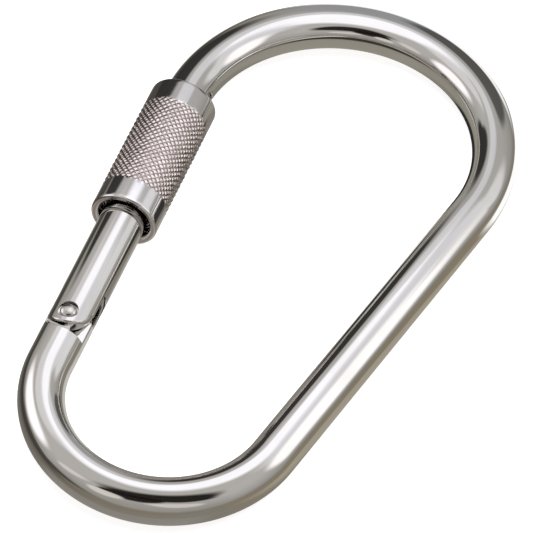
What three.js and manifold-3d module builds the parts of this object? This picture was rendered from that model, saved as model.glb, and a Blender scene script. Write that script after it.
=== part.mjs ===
// Screw-lock carabiner: a bent round steel bar closed by a spring gate with a knurled locking sleeve.
// It lies flat: the bar's plane is level, +Y runs along the gate from hinge to nose, +X points at the spine.
// Every function works in the gate frame (origin on the gate's axis at the tangent to the narrow bow),
// and finish() moves the result so that the bounding box stands centred on z = 0. Millimetres.
import * as THREE from 'three';
import { mergeVertices } from 'three/addons/utils/BufferGeometryUtils.js';
import Module from 'manifold-3d';

const wasm = await Module();
wasm.setup();

// ---- driving dimensions ----
const BAR_D = 8; // round bar of the frame and the gate
const R_WIDE = 28; // centreline radius of the wide bow
const R_NARROW = 21; // centreline radius of the narrow bow
const STRAIGHT = 63; // centreline length of the gate side, and of the spine
const AXIS_Z = 6.15; // height of the bar's plane, the sleeve's knurl touching z = 0
const ORIGIN_X = 26.925; // box centre in the gate frame
const ORIGIN_Y = 35;

const BAR_SIDES = 24; // facets round the bar, one of them facing straight down
const PIVOT_X = -0.3; // hinge axis, parallel to Z
const PIVOT_Y = 8.75;
const TANG_HALF = 1.3; // half thickness of the frame's hinge tang
const TANG_TOP = 12.2; // flat cam that the plunger presses on
const EAR_SLOT_HALF = 1.6; // half width of the slot between the gate's ears
const EAR_SLOT_TOP = 15.3;
const EAR_X = -0.6; // centre of the ears' rounded end
const EAR_Y = 10.15;
const EAR_R = 4.15;
const SHOULDER_R = 4.03; // hollow in the frame's shoulder, about the pivot
const SHOULDER_Y = 4.72;
const SHOULDER_HORN_Y = 6.4;
const RIVET_R = 1.2;
const RIVET_HOLE_R = 1.35;
const RIVET_HEAD_R = 1.45;
const RIVET_HEAD_Z = 3.2; // underside of each head
const RIVET_TOP_Z = 4.2;
const SPOT_FACE_R = 1.75;
const SPOT_FACE_Z = 3.05;

const GATE_TOP = 62.4; // shoulder of the gate below its latch tongue
const NOSE_END = 62.8; // cut end of the frame's nose
const TONGUE_HALF = 0.9;
const TONGUE_X0 = -1.5;
const TONGUE_X1 = 3.5;
const TONGUE_TOP = 65.5;
const NOSE_SLOT_HALF = 1.2;
const NOSE_SLOT_X = -1.9;
const NOSE_SLOT_TOP = 65.8;
const PIN_X = 1.0; // latch pin across the tongue
const PIN_Y = 64.2;
const PIN_R = 0.6;
const PIN_HALF = 1.4;
const PIN_POCKET_HALF = 1.7;
const PIN_POCKET_X = 0.1;

const THREAD_PITCH = 1.5; // right-hand, one turn of the sleeve moves it this far
const THREAD_STEPS = 24; // stations in each turn
const GATE_THREAD_R = 4.5; // crest of the gate's thread
const GATE_THREAD_Y0 = 41.25;
const GATE_THREAD_TURNS = 13;
const SLEEVE_THREAD_R = 4.2; // crest of the sleeve's thread
const SLEEVE_THREAD_Y0 = 50.25;
const SLEEVE_THREAD_TURNS = 6;

const SLEEVE_Y0 = 33.2;
const SLEEVE_Y1 = 62.2;
const COLLAR_LENGTH = 4.75; // plain collar at each end of the sleeve
const COLLAR_R = 6.05;
const SLEEVE_BORE_R = 4.75;
const SLEEVE_CHAMFER = 0.4;
const KNURL_PEAK_R = 6.15;
const KNURL_VALLEY_R = 5.8;
const KNURL_COLUMNS = 68; // half diamonds round the sleeve
const KNURL_ROWS = 34; // half diamonds along it
const GROOVE_Y0 = 35.9; // internal groove that holds the friction ring
const GROOVE_Y1 = 37.1;
const GROOVE_R = 5.15;
const RING_R = 4.6;
const RING_WIRE_R = 0.3;

const SPRING_BORE_R = 1.75; // blind bore up the gate
const SPRING_BORE_Y0 = 11;
const SPRING_BORE_TOP = 33;
const SPRING_R = 1.15;
const SPRING_WIRE_R = 0.22;
const SPRING_Y0 = 17.3;
const SPRING_Y1 = 32.4;
const SPRING_TURNS = 9;
const PLUNGER_R = 1.4;
const PLUNGER_Y0 = 12.5; // tip, just clear of the tang's cam
const PLUNGER_Y1 = 16.9;
const PLUNGER_STEM_R = 0.65;
const PLUNGER_STEM_TOP = 20.5;

// ---- helpers ----

// A polygon with flats at radius r has its corners here.
function cornerRadius(r, sides) {
  return r / Math.cos(Math.PI / sides);
}

function toManifold(geometry) {
  const bare = new THREE.BufferGeometry();
  bare.setAttribute('position', geometry.getAttribute('position').clone());
  if (geometry.index) {
    bare.setIndex(geometry.index.clone());
  }
  const merged = mergeVertices(bare, 1e-4);
  const mesh = new wasm.Mesh({
    numProp: 3,
    vertProperties: new Float32Array(merged.getAttribute('position').array),
    triVerts: new Uint32Array(merged.index.array),
  });
  return new wasm.Manifold(mesh);
}

function toGeometry(manifold) {
  const mesh = manifold.getMesh();
  const geometry = new THREE.BufferGeometry();
  const position = new THREE.BufferAttribute(new Float32Array(mesh.vertProperties), 3);
  geometry.setAttribute('position', position);
  geometry.setIndex(new THREE.BufferAttribute(new Uint32Array(mesh.triVerts), 1));
  return geometry;
}

// A box given by its two corners.
function block(x0, x1, y0, y1, z0, z1) {
  const geometry = new THREE.BoxGeometry(x1 - x0, y1 - y0, z1 - z0);
  geometry.translate((x0 + x1) / 2, (y0 + y1) / 2, (z0 + z1) / 2);
  return toManifold(geometry);
}

// A plate cut to an outline in the bar's plane, from z0 to z1.
function plate(shape, z0, z1) {
  const geometry = new THREE.ExtrudeGeometry(shape, { depth: z1 - z0, bevelEnabled: false, curveSegments: 24 });
  geometry.translate(0, 0, z0);
  return toManifold(geometry);
}

// A cylinder parallel to Z.
function crossPin(x, y, r, z0, z1, sides) {
  const geometry = new THREE.CylinderGeometry(r, r, z1 - z0, sides);
  geometry.rotateX(Math.PI / 2);
  geometry.translate(x, y, (z0 + z1) / 2);
  return geometry;
}

// A body turned about the gate's axis, from [radius, y] pairs.
function turned(profile, sides, phase) {
  const points = profile.map(([r, y]) => new THREE.Vector2(r, y));
  return new THREE.LatheGeometry(points, sides, phase);
}

// A path whose points, tangents and normals are stated station by station.
class StationPath extends THREE.Curve {
  constructor(stations) {
    super();
    this.stations = stations;
  }

  station(u) {
    return this.stations[Math.round(u * (this.stations.length - 1))];
  }

  getPoint(u) {
    return this.station(u).point.clone();
  }

  getPointAt(u) {
    return this.getPoint(u);
  }

  computeFrenetFrames() {
    const tangents = this.stations.map((s) => s.tangent.clone());
    const normals = this.stations.map((s) => s.normal.clone());
    const binormals = tangents.map((t, i) => new THREE.Vector3().crossVectors(t, normals[i]));
    return { tangents, normals, binormals };
  }
}

// A section carried along a path of stations.
function swept(section, stations) {
  const shape = new THREE.Shape(section.map(([x, y]) => new THREE.Vector2(x, y)));
  const options = { steps: stations.length - 1, extrudePath: new StationPath(stations), bevelEnabled: false };
  return new THREE.ExtrudeGeometry(shape, options);
}

// A regular polygon whose flats lie at radius r, one of them square to each axis.
function roundSection(r, sides) {
  const corner = cornerRadius(r, sides);
  const points = [];
  for (let i = 0; i < sides; i += 1) {
    const angle = ((i + 0.5) / sides) * 2 * Math.PI;
    points.push([corner * Math.cos(angle), corner * Math.sin(angle)]);
  }
  return points;
}

// Stations of a right-hand helix about the gate's axis.
function helixStations(radius, pitch, y0, turns, stepsPerTurn) {
  const stations = [];
  const count = Math.round(turns * stepsPerTurn);
  for (let i = 0; i <= count; i += 1) {
    const angle = (i / stepsPerTurn) * 2 * Math.PI;
    const s = Math.sin(angle);
    const c = Math.cos(angle);
    stations.push({
      point: new THREE.Vector3(radius * s, y0 + (pitch * i) / stepsPerTurn, radius * c),
      tangent: new THREE.Vector3(radius * c, pitch / (2 * Math.PI), -radius * s).normalize(),
      normal: new THREE.Vector3(s, 0, c),
    });
  }
  return stations;
}

// ---- the bar's centreline ----

function lineStation(x, y, dx, dy) {
  return {
    point: new THREE.Vector3(x, y, 0),
    tangent: new THREE.Vector3(dx, dy, 0).normalize(),
    normal: new THREE.Vector3(0, 0, 1),
  };
}

function arcStations(cx, cy, r, from, to, steps) {
  const stations = [];
  for (let i = 0; i <= steps; i += 1) {
    const angle = from + ((to - from) * i) / steps;
    const x = cx + r * Math.cos(angle);
    const y = cy + r * Math.sin(angle);
    stations.push(lineStation(x, y, -Math.sin(angle), Math.cos(angle)));
  }
  return stations;
}

// From the tang, round the narrow bow, up the spine, round the wide bow and down to the nose.
function barStations() {
  const lean = 2 * Math.atan2(R_WIDE - R_NARROW, STRAIGHT);
  return [
    lineStation(0, TANG_TOP, 0, -1),
    ...arcStations(R_NARROW, 0, R_NARROW, Math.PI, 2 * Math.PI - lean, 28),
    ...arcStations(R_WIDE, STRAIGHT, R_WIDE, -lean, Math.PI, 38),
    lineStation(0, NOSE_END, 0, -1),
  ];
}

// ---- pieces ----

// Room beside the tang for one of the gate's ears.
function earRoom(z0, z1) {
  const shape = new THREE.Shape();
  shape.moveTo(6, SHOULDER_Y);
  shape.lineTo(6, 14);
  shape.lineTo(-6, 14);
  shape.lineTo(-6, SHOULDER_HORN_Y);
  const hornAngle = Math.PI + Math.asin((PIVOT_Y - SHOULDER_HORN_Y) / SHOULDER_R);
  shape.lineTo(PIVOT_X + SHOULDER_R * Math.cos(hornAngle), SHOULDER_HORN_Y);
  shape.absarc(PIVOT_X, PIVOT_Y, SHOULDER_R, hornAngle, 1.5 * Math.PI, false);
  return plate(shape, z0, z1);
}

function frameBody() {
  const tangCorner = new THREE.Shape();
  tangCorner.moveTo(-5, TANG_TOP + 1);
  tangCorner.lineTo(-5, 9.4);
  tangCorner.lineTo(-3.9, 9.4);
  tangCorner.lineTo(-3.3, 10.9);
  tangCorner.lineTo(-1.9, TANG_TOP + 0.001);
  tangCorner.lineTo(-1.9, TANG_TOP + 1);
  const tangRecess = new THREE.Shape();
  tangRecess.moveTo(5, 9.2);
  tangRecess.lineTo(5, TANG_TOP + 1);
  tangRecess.lineTo(2.6, TANG_TOP + 1);
  tangRecess.lineTo(2.6, 10.3);
  tangRecess.lineTo(4.05, 9.2);
  return toManifold(swept(roundSection(BAR_D / 2, BAR_SIDES), barStations()))
    .subtract(earRoom(TANG_HALF, 6))
    .subtract(earRoom(-6, -TANG_HALF))
    .subtract(plate(tangCorner, -6, 6))
    .subtract(plate(tangRecess, -6, 6))
    .subtract(toManifold(crossPin(PIVOT_X, PIVOT_Y, RIVET_HOLE_R, -6, 6, 24)))
    .subtract(block(NOSE_SLOT_X, 9, 61, NOSE_SLOT_TOP, -NOSE_SLOT_HALF, NOSE_SLOT_HALF))
    .subtract(block(PIN_POCKET_X, 9, PIN_Y - 0.85, PIN_Y + 0.85, -PIN_POCKET_HALF, PIN_POCKET_HALF));
}

// What is cut off the gate's lower end to round its ears.
function earWaste() {
  const shape = new THREE.Shape();
  shape.moveTo(-6, 0);
  shape.lineTo(6, 0);
  shape.lineTo(6, 11.2);
  shape.lineTo(4.3, 11.2);
  shape.lineTo(EAR_X + EAR_R, EAR_Y);
  shape.absarc(EAR_X, EAR_Y, EAR_R, 0, -Math.PI, true);
  shape.lineTo(-6, EAR_Y);
  return plate(shape, -6, 6);
}

function gateBody() {
  const corner = cornerRadius(BAR_D / 2, BAR_SIDES);
  const phase = Math.PI / BAR_SIDES;
  const rod = toManifold(turned([[0, 4], [corner, 4], [corner, GATE_TOP], [0, GATE_TOP]], BAR_SIDES, phase));
  const crest = GATE_THREAD_R - BAR_D / 2;
  const ridge = [[-0.2, -0.52], [crest, -0.18], [crest, 0.18], [-0.2, 0.52]];
  const turnsOfThread = helixStations(
    BAR_D / 2, THREAD_PITCH, GATE_THREAD_Y0, GATE_THREAD_TURNS, THREAD_STEPS);
  const boreProfile = [
    [0, SPRING_BORE_Y0],
    [SPRING_BORE_R, SPRING_BORE_Y0],
    [SPRING_BORE_R, SPRING_BORE_TOP],
    [0, SPRING_BORE_TOP],
  ];
  const bore = turned(boreProfile, 20, 0);
  return rod
    .add(toManifold(swept(ridge, turnsOfThread)))
    .add(block(TONGUE_X0, TONGUE_X1, GATE_TOP - 1, TONGUE_TOP, -TONGUE_HALF, TONGUE_HALF))
    .subtract(toManifold(crossPin(PIN_X, PIN_Y, PIN_R + 0.12, -2, 2, 16)))
    .subtract(earWaste())
    .subtract(block(-6, 6, 0, EAR_SLOT_TOP, -EAR_SLOT_HALF, EAR_SLOT_HALF))
    .subtract(toManifold(bore))
    .subtract(toManifold(crossPin(PIVOT_X, PIVOT_Y, RIVET_HOLE_R, -6, 6, 24)))
    .subtract(toManifold(crossPin(PIVOT_X, PIVOT_Y, SPOT_FACE_R, SPOT_FACE_Z, 6, 24)))
    .subtract(toManifold(crossPin(PIVOT_X, PIVOT_Y, SPOT_FACE_R, -6, -SPOT_FACE_Z, 24)));
}

// A shank with a domed head at each end.
function hingeRivet() {
  const dome = [];
  const rim = RIVET_HEAD_Z + 0.2;
  for (let i = 0; i <= 5; i += 1) {
    const t = (i / 5) * (Math.PI / 2);
    dome.push([RIVET_HEAD_R * Math.cos(t), rim + (RIVET_TOP_Z - rim) * Math.sin(t)]);
  }
  dome[5][0] = 0;
  const upper = [[RIVET_R, RIVET_HEAD_Z], [RIVET_HEAD_R, RIVET_HEAD_Z], ...dome];
  const lower = upper.map(([r, z]) => [r, -z]).reverse();
  const geometry = turned([...lower, ...upper], 24, 0);
  geometry.rotateX(Math.PI / 2);
  geometry.translate(PIVOT_X, PIVOT_Y, 0);
  return toManifold(geometry);
}

// The sleeve's section, up the outside and back down the bore; the knurl's rows are evenly spaced.
function sleeveProfile() {
  const knurlY0 = SLEEVE_Y0 + COLLAR_LENGTH;
  const knurlY1 = SLEEVE_Y1 - COLLAR_LENGTH;
  const knurl = [];
  for (let j = 0; j <= KNURL_ROWS; j += 1) {
    knurl.push([KNURL_PEAK_R, knurlY0 + ((knurlY1 - knurlY0) * j) / KNURL_ROWS]);
  }
  const outside = [
    [COLLAR_R - SLEEVE_CHAMFER, SLEEVE_Y0],
    [COLLAR_R, SLEEVE_Y0 + SLEEVE_CHAMFER],
    [COLLAR_R, knurlY0 - 0.1],
    ...knurl,
    [COLLAR_R, knurlY1 + 0.1],
    [COLLAR_R, SLEEVE_Y1 - SLEEVE_CHAMFER],
    [COLLAR_R - SLEEVE_CHAMFER, SLEEVE_Y1],
  ];
  const inside = [
    [SLEEVE_BORE_R + SLEEVE_CHAMFER, SLEEVE_Y1],
    [SLEEVE_BORE_R, SLEEVE_Y1 - SLEEVE_CHAMFER],
    [SLEEVE_BORE_R, GROOVE_Y1],
    [GROOVE_R, GROOVE_Y1],
    [GROOVE_R, GROOVE_Y0],
    [SLEEVE_BORE_R, GROOVE_Y0],
    [SLEEVE_BORE_R, SLEEVE_Y0 + SLEEVE_CHAMFER],
    [SLEEVE_BORE_R + SLEEVE_CHAMFER, SLEEVE_Y0],
  ];
  return [...outside, ...inside, outside[0]];
}

// Every second corner of the knurl's grid is pressed in, which leaves rows of small pyramids.
function pressKnurl(geometry, profile) {
  const position = geometry.getAttribute('position');
  const rows = profile.length;
  for (let k = 0; k < position.count; k += 1) {
    const column = Math.floor(k / rows);
    const row = k % rows;
    const onKnurl = profile[row][0] === KNURL_PEAK_R;
    if (onKnurl && (column + row) % 2 === 0) {
      const scale = KNURL_VALLEY_R / KNURL_PEAK_R;
      position.setX(k, position.getX(k) * scale);
      position.setZ(k, position.getZ(k) * scale);
    }
  }
}

function lockSleeve() {
  const profile = sleeveProfile();
  const shell = turned(profile, KNURL_COLUMNS, 0);
  pressKnurl(shell, profile);
  const depth = SLEEVE_BORE_R - SLEEVE_THREAD_R;
  const ridge = [[-depth, -0.16], [0.2, -0.46], [0.2, 0.46], [-depth, 0.16]];
  const stations = helixStations(
    SLEEVE_BORE_R, THREAD_PITCH, SLEEVE_THREAD_Y0 + THREAD_PITCH / 2, SLEEVE_THREAD_TURNS, THREAD_STEPS);
  return toManifold(shell).add(toManifold(swept(ridge, stations)));
}

function frictionRing() {
  const geometry = new THREE.TorusGeometry(RING_R, RING_WIRE_R, 8, 32);
  geometry.rotateX(Math.PI / 2);
  geometry.translate(0, (GROOVE_Y0 + GROOVE_Y1) / 2, 0);
  return toManifold(geometry);
}

function gateSpring() {
  const pitch = (SPRING_Y1 - SPRING_Y0) / SPRING_TURNS;
  const stations = helixStations(SPRING_R, pitch, SPRING_Y0, SPRING_TURNS, 16);
  return toManifold(swept(roundSection(SPRING_WIRE_R, 6), stations));
}

function springPlunger() {
  const profile = [
    [0, PLUNGER_Y0],
    [0.9, PLUNGER_Y0 + 0.05],
    [PLUNGER_R, PLUNGER_Y0 + 0.5],
    [PLUNGER_R, PLUNGER_Y1],
    [PLUNGER_STEM_R, PLUNGER_Y1],
    [PLUNGER_STEM_R, PLUNGER_STEM_TOP - 0.3],
    [PLUNGER_STEM_R - 0.3, PLUNGER_STEM_TOP],
    [0, PLUNGER_STEM_TOP],
  ];
  return toManifold(turned(profile, 20, 0));
}

function latchPin() {
  return toManifold(crossPin(PIN_X, PIN_Y, PIN_R, -PIN_HALF, PIN_HALF, 16));
}

// ---- assembly ----

function finish(name, manifold, color, roughness, metalness) {
  const geometry = toGeometry(manifold);
  geometry.translate(-ORIGIN_X, -ORIGIN_Y, AXIS_Z);
  const mesh = new THREE.Mesh(geometry, new THREE.MeshStandardMaterial({ color, roughness, metalness }));
  mesh.name = name;
  return mesh;
}

const carabiner = new THREE.Group();
carabiner.name = 'carabiner';
carabiner.add(finish('frame', frameBody(), 0xd6d4ce, 0.14, 1.0));
carabiner.add(finish('gate', gateBody(), 0xd2d0ca, 0.16, 1.0));
carabiner.add(finish('hinge_rivet', hingeRivet(), 0xc9c6bf, 0.22, 1.0));
carabiner.add(finish('lock_sleeve', lockSleeve(), 0xcfc6c0, 0.3, 1.0));
carabiner.add(finish('friction_ring', frictionRing(), 0x8c8a86, 0.35, 1.0));
carabiner.add(finish('gate_spring', gateSpring(), 0xa8a6a2, 0.3, 1.0));
carabiner.add(finish('spring_plunger', springPlunger(), 0xc4b27a, 0.3, 1.0));
carabiner.add(finish('latch_pin', latchPin(), 0xbdbbb6, 0.25, 1.0));

export default carabiner;
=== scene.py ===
import math

import bmesh
import bpy
import numpy as np
from mathutils import Matrix, Vector


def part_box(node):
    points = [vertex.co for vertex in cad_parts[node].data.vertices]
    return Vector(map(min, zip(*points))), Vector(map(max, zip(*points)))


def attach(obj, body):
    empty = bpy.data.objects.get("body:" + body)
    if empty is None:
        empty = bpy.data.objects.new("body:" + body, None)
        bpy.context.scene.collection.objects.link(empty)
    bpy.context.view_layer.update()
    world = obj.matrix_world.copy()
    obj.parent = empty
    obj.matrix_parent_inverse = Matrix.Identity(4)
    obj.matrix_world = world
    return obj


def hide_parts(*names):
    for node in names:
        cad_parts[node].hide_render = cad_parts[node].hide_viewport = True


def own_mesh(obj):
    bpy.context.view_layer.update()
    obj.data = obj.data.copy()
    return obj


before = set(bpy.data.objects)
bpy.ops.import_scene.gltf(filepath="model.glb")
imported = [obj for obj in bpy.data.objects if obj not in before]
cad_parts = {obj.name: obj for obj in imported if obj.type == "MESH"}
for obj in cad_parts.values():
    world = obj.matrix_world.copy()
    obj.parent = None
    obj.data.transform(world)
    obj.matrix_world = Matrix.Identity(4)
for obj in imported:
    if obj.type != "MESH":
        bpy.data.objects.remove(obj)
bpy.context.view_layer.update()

# Shapes are worked out in millimetres in the gate frame: the origin is on the gate's axis where it meets the
# narrow bow, +Y runs along the gate and +X points at the spine. put() moves them into the CAD frame.
MM = 0.001
OUTSIDE = 6.0  # cutters reach this far, which is past the bar's skin

BAR_R = 4.0
R_WIDE, R_NARROW, STRAIGHT = 28.0, 21.0, 63.0
NOSE_END = 62.8

PIVOT, HOLE_R = (-0.3, 8.75), 1.35
TANG_HALF, TANG_TOP = 1.3, 12.2
ABOVE_TANG = TANG_TOP + 1
SHOULDER_R, SHOULDER_Y, HORN_Y = 4.03, 4.72, 6.4

EAR_CENTRE, EAR_R = (-0.6, 10.15), 4.15
EAR_SLOT_HALF, EAR_SLOT_TOP = 1.6, 15.3
SPOT_FACE_R, SPOT_FACE_Z = 1.75, 3.05
RIVET_R, RIVET_HEAD_R, RIVET_HEAD_Z, RIVET_TOP_Z = 1.2, 1.45, 3.2, 4.2

GATE_TOP = 62.4
TONGUE_X, TONGUE_HALF, TONGUE_TOP = -1.5, 0.9, 65.5
NOSE_SLOT_X, NOSE_SLOT_HALF, NOSE_SLOT_TOP = -1.9, 1.2, 65.8
PIN, PIN_R, PIN_HALF, PIN_HOLE_R = (1.0, 64.2), 0.6, 1.4, 0.72
PIN_POCKET_X, PIN_POCKET_R, PIN_POCKET_HALF = 0.1, 0.85, 1.7

BORE_IN_GATE_R, BORE_IN_GATE_TOP = 1.75, 33.0
SPRING_FOOT, SPRING_TOP, SPRING_WIRE, SPRING_R = 17.35, 32.4, 0.22, 1.15

# Threads: pitch, and for each the first turn's height up the gate, the ridge's depth and half its two widths.
PITCH = 1.5
GATE_THREAD = {"start": 41.25, "height": 0.5, "base": 0.423, "crest": 0.18}
SLEEVE_THREAD = {"start": 51.0, "height": 0.55, "base": 0.38, "crest": 0.16}

SLEEVE_Y0, SLEEVE_Y1 = 33.2, 62.2
SLEEVE_BORE_R, MOUTH_R, COLLAR_R, COLLAR = 4.75, 5.15, 6.05, 4.75
KNURL_Y0, KNURL_Y1 = SLEEVE_Y0 + COLLAR, SLEEVE_Y1 - COLLAR
KNURL_R, KNURL_STARTS = 6.1, 34
RING_Y0, RING_Y1, RING_R, RING_WIRE = 35.9, 37.1, 4.6, 0.3

sleeve_lo, sleeve_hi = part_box("lock_sleeve")
GATE_FRAME = Vector((
    (sleeve_lo[0] + sleeve_hi[0]) / 2,
    sleeve_lo[1] - SLEEVE_Y0 * MM,
    (sleeve_lo[2] + sleeve_hi[2]) / 2,
))


# ---- the bar's centreline ----

LEAN = 2 * math.atan2(R_WIDE - R_NARROW, STRAIGHT)
WIDE_C = np.array([R_WIDE, STRAIGHT])
NARROW_C = np.array([R_NARROW, 0.0])
SPINE_N = np.array([math.cos(LEAN), -math.sin(LEAN)])
SPINE_A = NARROW_C + R_NARROW * SPINE_N
SPINE_B = WIDE_C + R_WIDE * SPINE_N
ALONG_SPINE = (SPINE_B - SPINE_A) / STRAIGHT

# Lengths along the bar, from the start of the narrow bow to where the spine, the wide bow and the nose start.
SPINE_START = R_NARROW * (math.pi - LEAN)
WIDE_START = SPINE_START + STRAIGHT
NOSE_START = WIDE_START + R_WIDE * (math.pi + LEAN)


def centreline():
    """Points and tangents from the tang round both bows to the nose."""
    points, tangents = [], []

    def add(x, y, tx, ty):
        points.append((x, y))
        tangents.append((tx, ty))

    def add_bow(centre, r, first, last, steps):
        for a in np.linspace(first, last, steps):
            add(centre[0] + r * math.cos(a), centre[1] + r * math.sin(a), -math.sin(a), math.cos(a))

    for y in np.linspace(TANG_TOP, 0.6, 14):
        add(0, y, 0, -1)
    add_bow(NARROW_C, R_NARROW, math.pi, 2 * math.pi - LEAN, 100)
    for s in np.linspace(1, STRAIGHT - 1, 24):
        add(*(SPINE_A + s * ALONG_SPINE), *ALONG_SPINE)
    add_bow(WIDE_C, R_WIDE, -LEAN, math.pi, 130)
    add(0, NOSE_END, 0, -1)
    return np.array(points), np.array(tangents)


def nearest_on_bow(xy, centre, r, first, last, wrap, start):
    """The nearest point of a bow that turns from angle first to last, and how far along the bar it is."""
    a = np.arctan2(xy[:, 1] - centre[1], xy[:, 0] - centre[0])
    a = np.clip(np.where(a < wrap, a + 2 * math.pi, a), first, last)
    return centre + r * np.stack([np.cos(a), np.sin(a)], -1), start + r * (a - first)


def nearest_on_bar(p):
    """For points p (n, 3): the nearest point of the centreline, and how far along the bar it is."""
    xy = p[:, :2]
    y = np.clip(xy[:, 1], 0, STRAIGHT)
    on_gate_line = np.stack([np.zeros_like(y), y], -1)
    from_tang_or_nose = np.where(y < STRAIGHT / 2, -y, NOSE_START + STRAIGHT - y)
    s = np.clip((xy - SPINE_A) @ ALONG_SPINE, 0, STRAIGHT)
    options = [
        (on_gate_line, from_tang_or_nose),
        nearest_on_bow(xy, NARROW_C, R_NARROW, math.pi, 2 * math.pi - LEAN, math.pi / 2, 0),
        (SPINE_A + s[:, None] * ALONG_SPINE, SPINE_START + s),
        nearest_on_bow(xy, WIDE_C, R_WIDE, -LEAN, math.pi, -math.pi / 2, WIDE_START),
    ]
    gaps = np.stack([np.linalg.norm(xy - q, axis=1) for q, _ in options])
    pick = np.argmin(gaps, axis=0)
    rows = np.arange(len(p))
    q = np.stack([q for q, _ in options])[pick, rows]
    s = np.stack([s for _, s in options])[pick, rows]
    return q, s


# ---- mesh helpers ----

def linked(name, data):
    obj = bpy.data.objects.new(name, data)
    bpy.context.scene.collection.objects.link(obj)
    return obj


def mesh_object(name, verts, faces):
    mesh = bpy.data.meshes.new(name)
    mesh.from_pydata([tuple(v) for v in verts], [], faces)
    mesh.update()
    return linked(name, mesh)


def read(items, name, width=3, kind=float):
    """One value, or a row of them, for each of a mesh's vertices, faces or corners."""
    values = np.empty(len(items) * width, dtype=kind)
    items.foreach_get(name, values)
    return values.reshape(-1, width) if width > 1 else values


def face_outwards(obj):
    bm = bmesh.new()
    bm.from_mesh(obj.data)
    bmesh.ops.recalc_face_normals(bm, faces=bm.faces)
    bm.to_mesh(obj.data)
    bm.free()


def grid_faces(rows, cols, first=0):
    """Faces between closed rings of points, each with so many columns."""
    faces = []
    for i in range(rows - 1):
        a, b = first + i * cols, first + (i + 1) * cols
        for j in range(cols):
            k = (j + 1) % cols
            faces.append((a + j, a + k, b + k, b + j))
    return faces


def rings_object(name, rings):
    """A capped skin over rings of points, shape (rows, columns, 3), wound so that it faces outwards."""
    rows, cols = rings.shape[:2]
    faces = grid_faces(rows, cols)
    faces.append(tuple(range(cols - 1, -1, -1)))
    faces.append(tuple(range((rows - 1) * cols, rows * cols)))
    obj = mesh_object(name, rings.reshape(-1, 3), faces)
    face_outwards(obj)
    return obj


def swept_rings(points, tangents, normals, section):
    binormals = np.cross(tangents, normals)
    return (points[:, None, :] + section[None, :, 0, None] * normals[:, None, :]
            + section[None, :, 1, None] * binormals[:, None, :])


def around(cols):
    """The angles of one turn."""
    return np.arange(cols) / cols * 2 * math.pi


def circle(r, sides):
    a = around(sides)
    return np.stack([r * np.cos(a), r * np.sin(a)], -1)


def about_axis(r, y, a):
    """Points at radius r and angle a about the gate's axis."""
    return np.stack(np.broadcast_arrays(r * np.sin(a), y, r * np.cos(a)), -1)


def turned_rings(profile, cols):
    """Rings about the gate's axis from (radius, y) pairs."""
    profile = np.array(profile)
    return about_axis(profile[:, 0, None], profile[:, 1, None], around(cols))


def arc(cx, cy, r, first, last, steps=6):
    """Points of an arc between two angles in degrees."""
    a = np.radians(np.linspace(first, last, steps))
    return [(cx + r * math.cos(t), cy + r * math.sin(t)) for t in a]


def prism(outline, z0, z1):
    """A cutter: an outline in the bar's plane, from z0 to z1."""
    n = len(outline)
    verts = [(x, y, z0) for x, y in outline] + [(x, y, z1) for x, y in outline]
    faces = [(i, (i + 1) % n, n + (i + 1) % n, n + i) for i in range(n)]
    faces += [tuple(range(n - 1, -1, -1)), tuple(range(n, 2 * n))]
    obj = mesh_object("cutter", verts, faces)
    face_outwards(obj)
    return obj


def box(x0, x1, y0, y1, z0, z1):
    return prism([(x0, y0), (x1, y0), (x1, y1), (x0, y1)], z0, z1)


def round_z(x, y, r, z0, z1, sides=64):
    return prism([(x + p[0], y + p[1]) for p in circle(r, sides)], z0, z1)


def apply_modifiers(obj):
    graph = bpy.context.evaluated_depsgraph_get()
    mesh = bpy.data.meshes.new_from_object(obj.evaluated_get(graph))
    obj.modifiers.clear()
    old = obj.data
    obj.data = mesh
    bpy.data.meshes.remove(old)


def carve(obj, cutters, operation="DIFFERENCE"):
    for cutter in cutters:
        mod = obj.modifiers.new("cut", "BOOLEAN")
        mod.operation = operation
        mod.solver = "EXACT"
        mod.object = cutter
        apply_modifiers(obj)
        bpy.data.objects.remove(cutter)


def bevel(obj, width, is_rounded, sharp=28):
    """Rounds the edges that turn by more than sharp degrees and whose middle passes is_rounded(point)."""
    merge = 0.004
    bm = bmesh.new()
    bm.from_mesh(obj.data)
    bmesh.ops.remove_doubles(bm, verts=bm.verts, dist=merge)
    bmesh.ops.dissolve_degenerate(bm, edges=bm.edges, dist=merge)
    weight = bm.edges.layers.float.new("bevel_weight_edge")
    for e in bm.edges:
        middle = (e.verts[0].co + e.verts[1].co) / 2
        if len(e.link_faces) == 2 and e.calc_face_angle(0) > math.radians(sharp) and is_rounded(middle):
            e[weight] = 1.0
    bm.to_mesh(obj.data)
    bm.free()
    mod = obj.modifiers.new("bevel", "BEVEL")
    mod.limit_method = "WEIGHT"
    mod.width = width
    mod.segments = 3
    mod.use_clamp_overlap = True
    apply_modifiers(obj)


def smooth(obj, sharp, skin=None):
    """Smooth shading that keeps edges sharper than sharp degrees. Faces on the skin get its exact normals."""
    mesh = obj.data
    mesh.shade_smooth()
    mesh.set_sharp_from_angle(angle=math.radians(sharp))
    if skin is None:
        return
    near_skin, same_way = 0.02, 0.985
    normals = read(mesh.corner_normals, "vector")
    vertex = read(mesh.loops, "vertex_index", 1, np.int64)
    corners = read(mesh.polygons, "loop_total", 1, np.int64)
    face_normals = np.repeat(read(mesh.polygons, "normal"), corners, axis=0)
    off, exact = skin(read(mesh.vertices, "co"))
    on_skin = (np.abs(off[vertex]) < near_skin) & ((exact[vertex] * face_normals).sum(1) > same_way)
    normals[on_skin] = exact[vertex][on_skin]
    mesh.normals_split_custom_set([tuple(v) for v in normals])


def from_axis(out):
    """How far past the bar's skin these offsets from its axis end, and their directions."""
    r = np.linalg.norm(out, axis=1)
    return r - BAR_R, out / np.maximum(r, 1e-6)[:, None]


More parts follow.
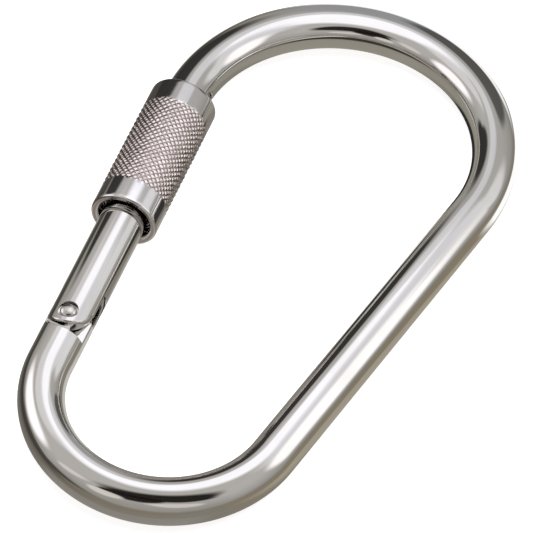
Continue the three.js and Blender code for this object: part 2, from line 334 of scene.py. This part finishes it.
def bar_skin(co):
    q, _ = nearest_on_bar(co)
    return from_axis(np.concatenate([co[:, :2] - q, co[:, 2:]], axis=1))


def gate_skin(co):
    return from_axis(co * np.array([1, 0, 1]))


def grain(obj, on_bar=False):
    """A coordinate in metres for the textures, which follows the bar: x and y across it, z along it."""
    mesh = obj.data
    co = read(mesh.vertices, "co")
    value = co[:, [0, 2, 1]]
    if on_bar:
        q, s = nearest_on_bar(co)
        inward = np.where((s < SPINE_START + STRAIGHT / 2)[:, None], NARROW_C, WIDE_C) - q
        inward /= np.linalg.norm(inward, axis=1)[:, None]
        value = np.stack([((co[:, :2] - q) * inward).sum(1), co[:, 2], s], -1)
    layer = mesh.attributes.new("grain", "FLOAT_VECTOR", "POINT")
    layer.data.foreach_set("vector", (value * MM).astype(np.float32).ravel())


def put(obj, body, node, material):
    obj.data.transform(Matrix.Translation(GATE_FRAME) @ Matrix.Scale(MM, 4))
    obj.data.materials.clear()
    obj.data.materials.append(material)
    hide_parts(node)
    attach(obj, body)
    return obj


# ---- materials ----
# Texture scales are in repeats per metre of the grain coordinate.

class Nodes:
    def __init__(self, tree):
        self.tree = tree

    def add(self, kind, **values):
        node = self.tree.nodes.new(kind)
        for key, value in values.items():
            setattr(node, key, value)
        return node

    def link(self, a, b):
        self.tree.links.new(a, b)

    def attribute(self, name, output):
        return self.add("ShaderNodeAttribute", attribute_name=name).outputs[output]

    def mapped(self, vector, **values):
        mapping = self.add("ShaderNodeMapping")
        for name, value in values.items():
            mapping.inputs[name].default_value = value
        self.link(vector, mapping.inputs["Vector"])
        return mapping.outputs["Vector"]

    def noise(self, vector, scale, detail=4.0, rough=0.6, distortion=0.0):
        noise = self.add("ShaderNodeTexNoise")
        noise.inputs["Scale"].default_value = 1.0
        noise.inputs["Detail"].default_value = detail
        noise.inputs["Roughness"].default_value = rough
        noise.inputs["Distortion"].default_value = distortion
        self.link(self.mapped(vector, Scale=scale), noise.inputs["Vector"])
        return noise.outputs["Fac"]

    def cells(self, vector, feature, scale=1.0):
        cells = self.add("ShaderNodeTexVoronoi", feature=feature)
        cells.inputs["Scale"].default_value = scale
        self.link(vector, cells.inputs["Vector"])
        return cells.outputs["Distance"]

    def scratches(self, vector, scale, rotation, width):
        """Thin lines: the edges between stretched cells, broken up so that each is a short stroke."""
        edges = self.cells(self.mapped(vector, Rotation=rotation, Scale=scale), "DISTANCE_TO_EDGE")
        line = self.ramp(edges, 0.0, width, 1.0, 0.0)
        breaks = self.ramp(self.noise(vector, (420, 420, 260), 2.0, 0.55), 0.52, 0.64, 0.0, 1.0)
        return self.maths("MULTIPLY", line, breaks)

    def ramp(self, value, low, high, at_low, at_high, shape="SMOOTHSTEP"):
        node = self.add("ShaderNodeMapRange", interpolation_type=shape)
        self.link(value, node.inputs["Value"])
        for name, number in (("From Min", low), ("From Max", high), ("To Min", at_low), ("To Max", at_high)):
            node.inputs[name].default_value = number
        return node.outputs["Result"]

    def maths(self, operation, a, b):
        node = self.add("ShaderNodeMath", operation=operation)
        for socket, value in zip(node.inputs, (a, b)):
            if isinstance(value, (int, float)):
                socket.default_value = value
            else:
                self.link(value, socket)
        return node.outputs[0]

    def mix(self, factor, a, b):
        node = self.add("ShaderNodeMix", data_type="RGBA")
        self.link(factor, node.inputs[0])
        for socket, value in zip((node.inputs[6], node.inputs[7]), (a, b)):
            if isinstance(value, tuple):
                socket.default_value = (*value, 1.0)
            else:
                self.link(value, socket)
        return node.outputs[2]


def metal(name, light, dark, rough, bump, streaks=(5200, 5200, 90), scratch=0.5, knurl=None):
    """Steel or brass with drawn streaks, hazy patches and hairline scratches.

    light and dark are its two tones and rough their roughness. bump is the relief in millimetres. knurl has
    the colours of a knurl's points and of the painted shade in its grooves, for a mesh whose attributes say
    where these are."""
    streak_share, haze_share, scratch_rough, knurl_rough = 0.25, 0.5, 0.18, 0.16
    material = bpy.data.materials.new(name)
    material.use_nodes = True
    tree = material.node_tree
    shader = tree.nodes["Principled BSDF"]
    shader.inputs["Metallic"].default_value = 1.0
    shader.inputs["IOR"].default_value = 2.5
    n = Nodes(tree)
    coord = n.attribute("grain", "Vector")
    streak = n.noise(coord, streaks)
    haze = n.noise(coord, (160, 160, 70), distortion=0.4)
    strokes = n.scratches(coord, (900, 900, 130), (0.5, 0.2, 0.1), 0.012)
    more = n.scratches(coord, (700, 700, 170), (-0.7, 0.4, 0.9), 0.010)
    strokes = n.maths("MAXIMUM", strokes, more)
    patch = n.ramp(haze, 0.35, 0.75, 0.0, haze_share)
    tone = n.maths("ADD", patch, n.maths("MULTIPLY", n.ramp(streak, 0.3, 0.7, 0.0, 1.0), streak_share))
    roughness = n.maths("ADD", n.maths("MULTIPLY", tone, rough[1] - rough[0]), rough[0])
    roughness = n.maths("ADD", roughness, n.maths("MULTIPLY", strokes, scratch_rough * scratch))
    colour = n.mix(tone, light, dark)
    height = n.maths("SUBTRACT", n.maths("MULTIPLY", streak, 0.5), n.maths("MULTIPLY", strokes, scratch))
    if knurl:
        patterned = n.attribute("patterned", "Fac")
        # Painted shade: the knurl's dark second colour darkens its grooves and the sleeve's end rims.
        groove = n.ramp(n.attribute("painted_shade", "Fac"), 0.35, 1.0, 0.0, 0.8)
        colour = n.mix(groove, n.mix(patterned, colour, knurl[0]), knurl[1])
        roughness = n.maths("ADD", roughness, n.maths("MULTIPLY", patterned, knurl_rough))
        crushed = n.maths("MULTIPLY", n.cells(coord, "F1", 2900), patterned)
        height = n.maths("ADD", height, n.maths("MULTIPLY", crushed, 30))
    n.link(colour, shader.inputs["Base Color"])
    n.link(roughness, shader.inputs["Roughness"])
    relief = n.add("ShaderNodeBump")
    relief.inputs["Strength"].default_value = 1.0
    relief.inputs["Distance"].default_value = bump * MM
    n.link(height, relief.inputs["Height"])
    n.link(relief.outputs["Normal"], shader.inputs["Normal"])
    return material


TURNED = (300, 300, 5200)  # streaks that run round a piece, not along it
POLISHED = metal("polished_bar", (0.80, 0.79, 0.775), (0.71, 0.69, 0.665), (0.035, 0.10), bump=0.0009)
GATE_STEEL = metal("polished_gate", (0.79, 0.78, 0.765), (0.69, 0.67, 0.65), (0.04, 0.12), bump=0.0010)
# The knurl's first colour is its points' own tone; the second is painted shade in its grooves and on the
# sleeve's end rims.
SLEEVE_STEEL = metal("knurled_steel", (0.82, 0.81, 0.82), (0.72, 0.70, 0.69), (0.05, 0.13),
                     streaks=TURNED, bump=0.0012, knurl=((0.97, 0.88, 0.865), (0.36, 0.295, 0.275)))
RIVET_STEEL = metal("rivet_steel", (0.78, 0.765, 0.74), (0.62, 0.60, 0.57), (0.16, 0.34),
                    streaks=(2400, 2400, 2400), bump=0.003, scratch=0.9)
WIRE_STEEL = metal("wire_steel", (0.56, 0.55, 0.54), (0.40, 0.39, 0.38), (0.22, 0.40), bump=0.002)
PIN_STEEL = metal("pin_steel", (0.72, 0.71, 0.70), (0.58, 0.57, 0.56), (0.18, 0.32), bump=0.002)
BRASS = metal("plunger_brass", (0.78, 0.62, 0.32), (0.58, 0.44, 0.22), (0.20, 0.38),
              streaks=TURNED, bump=0.003)


# ---- frame: bent bar, tang and nose ----

def ear_room(z0, z1):
    """The cut on one side of the tang: a round shoulder for the ear's end, and a horn on the outer side."""
    horn = 180 + math.degrees(math.asin((PIVOT[1] - HORN_Y) / SHOULDER_R))
    outline = [(OUTSIDE, SHOULDER_Y), (OUTSIDE, ABOVE_TANG), (-OUTSIDE, ABOVE_TANG), (-OUTSIDE, HORN_Y)]
    outline += arc(*PIVOT, SHOULDER_R, horn, 270, 24)
    outline[-1] = (PIVOT[0], SHOULDER_Y)
    return prism(outline, z0, z1)


def tang_corner():
    """The cut that rounds the tang's outer top corner."""
    x, y, r = -1.0, 9.4, 2.8
    outline = [(-OUTSIDE, ABOVE_TANG), (-OUTSIDE, y)] + arc(x, y, r, 180, 90, 14) + [(x, ABOVE_TANG)]
    return prism(outline, -OUTSIDE, OUTSIDE)


def tang_recess():
    """The cut on the tang's inner side, which leaves the plunger its flat cam."""
    x, y0, y1, r = 2.7, 9.1, 10.9, 1.5
    outline = [(OUTSIDE, ABOVE_TANG), (x, ABOVE_TANG), (x, y1)]
    outline += arc(x + r, y0 + r, r, 180, 261, 8) + [(OUTSIDE, y0)]
    return prism(outline, -OUTSIDE, OUTSIDE)


def build_frame():
    points, tangents = centreline()
    points = np.pad(points, ((0, 0), (0, 1)))
    tangents = np.pad(tangents, ((0, 0), (0, 1)))
    up = np.tile([0.0, 0.0, 1.0], (len(points), 1))
    obj = rings_object("bent_bar", swept_rings(points, tangents, up, circle(BAR_R, 96)))
    carve(obj, [
        ear_room(TANG_HALF, OUTSIDE),
        ear_room(-OUTSIDE, -TANG_HALF),
        tang_corner(),
        tang_recess(),
        round_z(*PIVOT, HOLE_R, -OUTSIDE, OUTSIDE),
        box(NOSE_SLOT_X, OUTSIDE, NOSE_END - 1, NOSE_SLOT_TOP, -NOSE_SLOT_HALF, NOSE_SLOT_HALF),
        box(PIN_POCKET_X, OUTSIDE, PIN[1] - PIN_POCKET_R, PIN[1] + PIN_POCKET_R,
            -PIN_POCKET_HALF, PIN_POCKET_HALF),
    ])
    bevel(obj, 0.14, lambda point: True)
    grain(obj, on_bar=True)
    smooth(obj, 30, bar_skin)
    return put(obj, "frame_body", "frame", POLISHED)


# ---- gate: rod with ears, bore, thread and tongue ----

def thread_height(a, y, start, height, base, crest):
    """Height of a trapezoid ridge that winds right-handed about the gate's axis."""
    turns = (y - start) / PITCH - a / (2 * math.pi)
    gap = np.abs(turns - np.round(turns)) * PITCH
    return np.clip((base - gap) / (base - crest), 0, 1) * height


def fade(y, y0, y1, run):
    """1 between y0 and y1, falling to 0 at both over the length run."""
    return np.clip((y - y0) / run, 0, 1) * np.clip((y1 - y) / run, 0, 1)


def ear_rounding(side, r=0.42):
    """A cutter that rounds the outer rim of one ear's end."""
    past = -0.8
    bend = np.radians(np.linspace(0, 90, 7))
    from_end = np.append(r * (1 - np.sin(bend)), [past, past, r])
    under_skin = np.append(r * (1 - np.cos(bend)), [r, past, past])
    turn = np.radians(np.linspace(-143, 2, 73))[:, None]
    x = EAR_CENTRE[0] + (EAR_R - from_end) * np.cos(turn)
    y = EAR_CENTRE[1] + (EAR_R - from_end) * np.sin(turn)
    z = np.sqrt(np.maximum((BAR_R - under_skin) ** 2 - x ** 2, 0.3))
    return rings_object("cutter", np.stack([x, y, side * z], -1))


def below_ears():
    """What is cut from the rod below the ears' round ends."""
    heel_x, heel_y = 4.3, 11.2
    outline = [(-OUTSIDE, 0), (OUTSIDE, 0), (OUTSIDE, heel_y), (heel_x, heel_y)]
    outline += arc(*EAR_CENTRE, EAR_R, 0, -180, 61) + [(-OUTSIDE, EAR_CENTRE[1])]
    return prism(outline, -OUTSIDE, OUTSIDE)


def build_gate():
    cols, thread_y0, thread_y1, thread_run = 96, 41.1, 61.2, 0.9
    close_rows = np.arange(41.0, 61.6, 0.075)
    ys = np.concatenate([np.linspace(4, 40.9, 30), close_rows, [61.9, 62.15]])
    a, y = np.meshgrid(around(cols), ys)
    thread = thread_height(a, y, **GATE_THREAD) * fade(y, thread_y0, thread_y1, thread_run)
    top = turned_rings([(BAR_R - 0.07, GATE_TOP - 0.07), (BAR_R - 0.25, GATE_TOP)], cols)
    obj = rings_object("gate_rod", np.concatenate([about_axis(BAR_R + thread, y, a), top]))
    tongue = box(TONGUE_X, 3.5, GATE_TOP - 1, TONGUE_TOP, -TONGUE_HALF, TONGUE_HALF)
    carve(obj, [tongue], "UNION")
    bore = [(BORE_IN_GATE_R, 11), (BORE_IN_GATE_R, BORE_IN_GATE_TOP), (0.9, BORE_IN_GATE_TOP + 0.6)]
    carve(obj, [
        below_ears(),
        box(-OUTSIDE, OUTSIDE, 0, EAR_SLOT_TOP, -EAR_SLOT_HALF, EAR_SLOT_HALF),
        rings_object("cutter", turned_rings(bore, 48)),
        round_z(*PIVOT, HOLE_R, -OUTSIDE, OUTSIDE),
        round_z(*PIVOT, SPOT_FACE_R, SPOT_FACE_Z, OUTSIDE),
        round_z(*PIVOT, SPOT_FACE_R, -OUTSIDE, -SPOT_FACE_Z),
        round_z(*PIN, PIN_HOLE_R, -2, 2, 32),
        ear_rounding(1),
        ear_rounding(-1),
    ])

    def is_rounded(point):
        """The ears' edges and the tongue's, but not the bore's or the thread's."""
        in_bore = math.hypot(point.x, point.z) < BORE_IN_GATE_R + 0.15
        return point.y > GATE_TOP - 0.2 or (point.y < EAR_SLOT_TOP + 1.2 and not in_bore)

    bevel(obj, 0.14, is_rounded)
    grain(obj)
    smooth(obj, 30, gate_skin)
    return put(obj, "gate_body", "gate", GATE_STEEL)


# ---- lock sleeve ----

def knurl_skin():
    """The knurl's points, how deep in a groove each lies, which also sets the painted shade there, and how
    far it is part of the pattern.

    Two sets of grooves cross and leave diamonds, each with a small lean and height of its own."""
    steps, walls, proud, depth, tilt_size, lift_size = 12, 0.82, 0.04, 0.15, 0.38, 0.04
    cols = KNURL_STARTS * steps
    pitch = 2 * math.pi * KNURL_R / KNURL_STARTS
    rows = int((KNURL_Y1 - KNURL_Y0) / (pitch / steps))
    ys = KNURL_Y0 + (np.arange(rows + 1) / rows) * (KNURL_Y1 - KNURL_Y0)
    a, y = np.meshgrid(around(cols), ys)
    u = KNURL_STARTS * a / (2 * math.pi) + (y - KNURL_Y0) / pitch
    v = KNURL_STARTS * a / (2 * math.pi) - (y - KNURL_Y0) / pitch
    in_u, in_v = u - np.floor(u) - 0.5, v - np.floor(v) - 0.5
    tooth = np.clip((1 - 2 * np.maximum(np.abs(in_u), np.abs(in_v))) / walls, 0, 1)
    uneven = 1 + 0.10 * np.sin(3 * a + 0.9 * y) * np.sin(5 * a - 0.6 * y + 1.3)
    row, column = np.floor(u) % KNURL_STARTS, np.floor(v) % KNURL_STARTS
    lean_u, lean_v, lift = (np.modf(np.abs(np.sin(row * p + column * q) * 4375.85))[0] - 0.5
                            for p, q in ((12.99, 78.23), (39.35, 11.14), (73.16, 52.24)))
    tilt = lean_u * in_u + lean_v * in_v
    run = fade(y, KNURL_Y0 - 0.05, KNURL_Y1 + 0.05, 0.35)
    valley = depth * (1 - tooth) * uneven
    r = COLLAR_R + run * (proud - valley + tooth * (tilt_size * tilt + lift_size * lift))
    # The middle value also sets the painted shade in the grooves.
    return about_axis(r, y, a), (1 - tooth) * run, run


def mirrored(profile):
    """A profile of the sleeve's lower end, turned over for its upper end."""
    return [(r, SLEEVE_Y0 + SLEEVE_Y1 - y) for r, y in reversed(profile)]


def outer_skin():
    """The knurl between two plain collars with round ends, and its two attributes, which also paint shade on
    the collars' end rims.
    """
    knurl, painted_shade, patterned = knurl_skin()
    cols = knurl.shape[1]
    rounding = 0.38
    collar = [(MOUTH_R, SLEEVE_Y0), (5.4, SLEEVE_Y0)]
    collar += arc(COLLAR_R - rounding, SLEEVE_Y0 + rounding, rounding, -90, 0)
    collar += [(COLLAR_R, y) for y in np.linspace(SLEEVE_Y0 + 0.8, KNURL_Y0 - 0.12, 8)]
    rings = np.concatenate([turned_rings(collar, cols), knurl, turned_rings(mirrored(collar), cols)])
    # Painted shade: the first rows of each collar, at the sleeve's end rims, take the grooves' dark colour
    # over some of the points' colour and roughness.
    rim = np.repeat([1.0, 1.0, 0.8] + [0.0] * (len(collar) - 3), cols)
    attributes = {
        "painted_shade": np.concatenate([rim, painted_shade.ravel(), rim[::-1]]),
        "patterned": np.concatenate([0.6 * rim, patterned.ravel(), 0.6 * rim[::-1]]),
    }
    return rings, attributes


def inner_skin():
    """The bore, with the friction ring's groove and the thread."""
    cols, thread_y0, thread_y1, thread_run = 136, 50.4, 60.6, 0.8
    a, y = np.meshgrid(around(cols), np.arange(50.2, 60.9, 0.09))
    thread = thread_height(a, y, **SLEEVE_THREAD) * fade(y, thread_y0, thread_y1, thread_run)
    mouth = [(MOUTH_R, SLEEVE_Y0), (4.98, SLEEVE_Y0 + 0.1), (SLEEVE_BORE_R, SLEEVE_Y0 + 0.4)]
    groove = [(SLEEVE_BORE_R, RING_Y0), (MOUTH_R, RING_Y0), (MOUTH_R, RING_Y1), (SLEEVE_BORE_R, RING_Y1)]
    below = mouth + groove + [(SLEEVE_BORE_R, 44)]
    threaded = about_axis(SLEEVE_BORE_R - thread, y, a)
    return np.concatenate([turned_rings(below, cols), threaded, turned_rings(mirrored(mouth), cols)])


def build_sleeve():
    outer, attributes = outer_skin()
    inner = inner_skin()
    rows, cols = outer.shape[:2]
    inner_rows, inner_cols = inner.shape[:2]
    verts = np.concatenate([outer.reshape(-1, 3), inner.reshape(-1, 3)])
    faces = grid_faces(rows, cols)
    faces += [tuple(reversed(f)) for f in grid_faces(inner_rows, inner_cols, rows * cols)]
    obj = mesh_object("lock_sleeve_body", verts, faces)
    for name, values in attributes.items():
        values = np.concatenate([values, np.zeros(inner_rows * inner_cols)])
        layer = obj.data.attributes.new(name, "FLOAT", "POINT")
        layer.data.foreach_set("value", values.astype(np.float32))
    grain(obj)
    smooth(obj, 40)
    return put(obj, "sleeve_body", "lock_sleeve", SLEEVE_STEEL)


# ---- small parts ----

def turned_across(name, upper, centre, cols):
    """A turned piece, the same on both sides of the bar's plane, with its axis square to that plane."""
    lower = [(r, -z) for r, z in reversed(upper)]
    obj = rings_object(name, turned_rings(lower + upper, cols))
    obj.data.transform(Matrix.Translation((*centre, 0)) @ Matrix.Rotation(math.pi / 2, 4, "X"))
    grain(obj)
    smooth(obj, 35)
    return obj


def build_rivet():
    edge_r = 0.1
    rim = RIVET_HEAD_Z + 2 * edge_r
    rise = RIVET_TOP_Z - rim
    upper = [(RIVET_R, RIVET_HEAD_Z)]
    upper += arc(RIVET_HEAD_R - edge_r, RIVET_HEAD_Z + edge_r, edge_r, -90, 0, 5)
    dome = np.linspace(0, 0.47 * math.pi, 16)
    upper += [(RIVET_HEAD_R * math.cos(t), rim + rise * math.sin(t)) for t in dome]
    obj = turned_across("rivet", upper, PIVOT, 64)
    return put(obj, "gate_body", "hinge_rivet", RIVET_STEEL)


def build_pin():
    edge_r = 0.12
    upper = arc(PIN_R - edge_r, PIN_HALF - edge_r, edge_r, 0, 90, 5) + [(0.2, PIN_HALF)]
    obj = turned_across("cross_pin", upper, PIN, 40)
    return put(obj, "gate_body", "latch_pin", PIN_STEEL)


def coil(name, angle, r, y, wire, sides):
    """A round wire wound about the gate's axis."""
    points = about_axis(r, y, angle)
    tangents = np.gradient(points, axis=0)
    tangents /= np.linalg.norm(tangents, axis=1)[:, None]
    outward = about_axis(1, 0, angle)
    outward -= (outward * tangents).sum(1)[:, None] * tangents
    outward /= np.linalg.norm(outward, axis=1)[:, None]
    obj = rings_object(name, swept_rings(points, tangents, outward, circle(wire, sides)))
    grain(obj)
    smooth(obj, 40)
    return obj


def build_ring():
    angle = np.radians(np.linspace(8, 352, 97))
    obj = coil("split_ring", angle, RING_R, (RING_Y0 + RING_Y1) / 2, RING_WIRE, 20)
    return put(obj, "ring_body", "friction_ring", WIRE_STEEL)


def build_spring():
    turns = 11
    t = np.linspace(0, turns, turns * 40 + 1)
    closed_pitch = 2 * SPRING_WIRE + 0.02
    open_turns = np.clip((t - 1) / (turns - 2), 0, 1)
    closed_turns = np.clip(t, 0, 1) + np.clip(t - turns + 1, 0, 1)
    y = SPRING_FOOT + closed_pitch * closed_turns
    y += (SPRING_TOP - SPRING_FOOT - 2 * closed_pitch) * open_turns
    obj = coil("coil", t * 2 * math.pi, SPRING_R, y, SPRING_WIRE, 12)
    put(obj, "gate_body", "gate_spring", WIRE_STEEL)
    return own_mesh(obj)


def build_plunger():
    """From its round nose on the cam, by the collar that the coil presses on, to the stem inside the coil."""
    profile = [(0.25, 12.5), (0.75, 12.52)] + arc(0.95, 12.97, 0.45, -90, 0, 8)
    profile += [(1.4, 13.3), (1.4, 16.78), (1.36, 16.86), (1.28, 16.9), (0.7, 16.9), (0.65, 16.95)]
    profile += [(0.65, 20.2)] + arc(0.4, 20.25, 0.25, 0, 90, 5) + [(0.15, 20.5)]
    obj = rings_object("turned_plunger", turned_rings(profile, 48))
    grain(obj)
    smooth(obj, 35)
    return put(obj, "plunger_body", "spring_plunger", BRASS)


# ---- studio ----

def build_table():
    """A pale round table, tilted so that it touches the sleeve and the spine, as the object lies."""
    spine_lift, spine_reach, sides = 2.15, 52.0, 96
    radii = (0.02, 0.5, 2.5)
    rings = np.array([[(*point, 0) for point in circle(r, sides)] for r in radii])
    faces = grid_faces(len(radii), sides) + [tuple(range(sides))]
    obj = mesh_object("table", rings.reshape(-1, 3), faces)
    tilt = Matrix.Rotation(-math.atan2(spine_lift, spine_reach), 4, "Y")
    obj.data.transform(Matrix.Translation((GATE_FRAME.x, 0, 0)) @ tilt)
    material = bpy.data.materials.new("table")
    material.use_nodes = True
    shader = material.node_tree.nodes["Principled BSDF"]
    shader.inputs["Base Color"].default_value = (0.9, 0.9, 0.9, 1)
    shader.inputs["Roughness"].default_value = 0.9
    shader.inputs["Specular IOR Level"].default_value = 0.1
    shader.inputs["Emission Color"].default_value = (1, 1, 1, 1)
    shader.inputs["Emission Strength"].default_value = 0.75
    obj.data.materials.append(material)
    obj.visible_glossy = False


# The light tent is a box in the gate frame. Its walls go from the first colour at the floor to the last at
# the ceiling. On them lie soft elliptical panels and dark cards, each later one over those before it:
# centre, half sizes, fade beyond them as a share of the half sizes, colour, opacity.
TENT_LOW, TENT_HIGH = (-130, -90, -6.5), (210, 135, 140)
TENT_WALL = [
    (0.0, (0.26, 0.245, 0.215)),
    (0.12, (0.36, 0.35, 0.325)),
    (0.45, (0.46, 0.445, 0.43)),
    (1.0, (0.54, 0.52, 0.50)),
]
PANELS = [
    # Ceiling, then the right, far, left and near walls.
    ((22, 84, 150), (44, 50, 40), 0.8, (1.26, 1.255, 1.32), 1.0),
    ((-70, 85, 150), (30, 40, 28), 0.8, (0.86, 0.85, 0.87), 0.8),
    ((120, 105, 150), (45, 55, 30), 0.8, (0.88, 0.88, 0.93), 0.8),
    ((210, 80, 116), (57, 40, 55), 0.9, (1.33, 1.31, 1.32), 1.0),
    ((150, 140, 80), (40, 20, 35), 0.8, (0.86, 0.86, 0.86), 0.9),
    ((14, 140, 103), (28, 25, 24), 0.5, (0.80, 0.80, 0.83), 0.85),
    ((-135, 10, 80), (30, 45, 38), 0.9, (1.34, 1.30, 1.33), 1.0),
    ((-80, -90, 95), (25, 30, 22), 0.8, (0.82, 0.78, 0.74), 0.8),
    ((72, -90, 52), (28, 30, 13), 0.6, (0.80, 0.75, 0.70), 0.8),
    # Dark cards at the near end, over a pale one.
    ((60, -110, 140), (80, 60, 42), 0.5, (0.012, 0.010, 0.008), 0.98),
    ((14, -100, 95), (36, 34, 37), 0.3, (0.012, 0.010, 0.008), 0.98),
    ((-10, -90, 54), (16, 30, 17), 0.6, (0.84, 0.80, 0.74), 0.85),
    # Floor outside the bar: left, right and near.
    ((-90, -60, -10), (60, 70, 18), 0.9, (0.06, 0.055, 0.045), 0.9),
    ((-60, 60, -10), (40, 90, 14), 0.5, (0.06, 0.055, 0.048), 0.9),
    ((95, 15, -8), (42, 55, 14), 0.6, (0.28, 0.238, 0.17), 0.9),
    ((14, -82, -8), (50, 30, 8), 0.6, (0.25, 0.22, 0.17), 0.9),
    # Floor inside the wide bow, and low on the far wall.
    ((26, 53, -10), (12, 19, 8), 0.4, (0.03, 0.029, 0.027), 0.95),
    ((-88, 142, 42), (60, 30, 43), 0.4, (0.03, 0.028, 0.026), 0.97),
    ((14, 140, 22), (20, 20, 32), 0.5, (0.35, 0.36, 0.38), 0.8),
    ((50, 140, 26), (22, 20, 26), 0.4, (0.08, 0.078, 0.075), 0.9),
    # Floor close to the bar, mostly from the wide bow to the narrow one.
    ((-6, 82, -8), (7, 12, 5), 0.5, (0.95, 0.95, 0.93), 0.9),
    ((35, 125, -10), (30, 24, 8), 0.6, (1.18, 1.18, 1.20), 0.95),
    ((64, 77, -8), (14, 15, 6), 0.4, (1.28, 1.28, 1.28), 0.98),
    ((44, 75, -9), (5, 9, 6), 0.4, (0.02, 0.02, 0.02), 0.97),
    ((56, 30, -8), (7, 34, 5), 0.8, (0.44, 0.40, 0.33), 0.9),
    ((42, 35, -8), (4, 26, 4), 0.5, (0.80, 0.78, 0.75), 0.9),
    ((-2, 38, -8), (9, 24, 5), 0.5, (0.48, 0.46, 0.42), 0.9),
    ((7, 3, -8), (4, 12, 4), 0.7, (0.66, 0.64, 0.60), 0.9),
    ((20, -26, -8), (16, 6, 4), 0.7, (0.32, 0.305, 0.27), 0.8),
    ((23, 80, -8), (11, 9, 4), 0.5, (0.36, 0.34, 0.29), 0.85),
]


def build_tent():
    """A small light tent close round the object, seen only in the steel: pale soft panels and dark cards."""
    obj = box(TENT_LOW[0], TENT_HIGH[0], TENT_LOW[1], TENT_HIGH[1], TENT_LOW[2], TENT_HIGH[2])
    obj.name = "light_tent"
    obj.matrix_world = Matrix.Translation(GATE_FRAME) @ Matrix.Scale(MM, 4)
    material = bpy.data.materials.new("light_tent")
    material.use_nodes = True
    material.cycles.emission_sampling = "NONE"
    n = Nodes(material.node_tree)
    coord = n.add("ShaderNodeTexCoord").outputs["Object"]
    split = n.add("ShaderNodeSeparateXYZ")
    n.link(coord, split.inputs[0])
    height = n.ramp(split.outputs["Z"], TENT_LOW[2], TENT_HIGH[2], 0.0, 1.0, "LINEAR")
    wall = n.add("ShaderNodeValToRGB")
    n.link(height, wall.inputs["Fac"])
    elements = wall.color_ramp.elements
    while len(elements) < len(TENT_WALL):
        elements.new(0.5)
    for element, (at, colour) in zip(elements, TENT_WALL):
        element.position = at
        element.color = (*colour, 1)
    colour = wall.outputs["Color"]
    for centre, half, fade_out, panel, opacity in PANELS:
        mapping = n.add("ShaderNodeMapping", vector_type="TEXTURE")
        mapping.inputs["Location"].default_value = centre
        mapping.inputs["Scale"].default_value = half
        n.link(coord, mapping.inputs["Vector"])
        reach = n.add("ShaderNodeVectorMath", operation="LENGTH")
        n.link(mapping.outputs["Vector"], reach.inputs[0])
        colour = n.mix(n.ramp(reach.outputs["Value"], 1 + fade_out, 1.0, 0.0, opacity), colour, panel)
    glow = n.add("ShaderNodeEmission")
    n.link(colour, glow.inputs["Color"])
    n.link(glow.outputs[0], material.node_tree.nodes["Material Output"].inputs["Surface"])
    obj.data.materials.append(material)
    for ray in ("camera", "diffuse", "transmission", "volume_scatter", "shadow"):
        setattr(obj, "visible_" + ray, False)


def build_world():
    """Plain pale light for the table."""
    world = bpy.data.worlds.new("studio")
    bpy.context.scene.world = world
    world.use_nodes = True
    background = world.node_tree.nodes["Background"]
    background.inputs["Color"].default_value = (1, 1, 1, 1)
    background.inputs["Strength"].default_value = 0.35


def build_lamp():
    """A large overhead panel for the table and the soft shadow; the steel reflects the tent instead."""
    data = bpy.data.lights.new("overhead", "AREA")
    data.shape = "DISK"
    data.size = 1.6
    data.energy = 12.0
    lamp = linked("overhead", data)
    lamp.location = (0.1, 0.25, 1.2)
    lamp.rotation_euler = (-lamp.location).to_track_quat("-Z", "Y").to_euler()
    lamp.visible_glossy = False
    lamp.visible_camera = False


def build_camera():
    """The photograph's viewpoint: about 18 degrees to the right of the gate's line and 51 degrees above.

    Its place in the gate frame, its right and its up were fitted to the object's outline."""
    place = Vector((173.386, -422.961, 590.226))
    right = Vector((0.93682, 0.34801, 0.03549))
    up = Vector((-0.29151, 0.72058, 0.62912))
    data = bpy.data.cameras.new("camera")
    data.sensor_width = 36.0
    data.lens = 300.65
    data.clip_start = 0.05
    data.clip_end = 20
    camera = linked("camera", data)
    turn = Matrix((right, up, right.cross(up))).transposed().to_4x4()
    camera.matrix_world = Matrix.Translation(GATE_FRAME + place * MM) @ turn
    bpy.context.scene.camera = camera


build_camera()
build_world()
build_tent()
build_lamp()
build_table()
build_frame()
build_gate()
build_sleeve()
build_rivet()
build_pin()
build_ring()
build_spring()
build_plunger()

bpy.context.scene.view_settings.view_transform = "Standard"
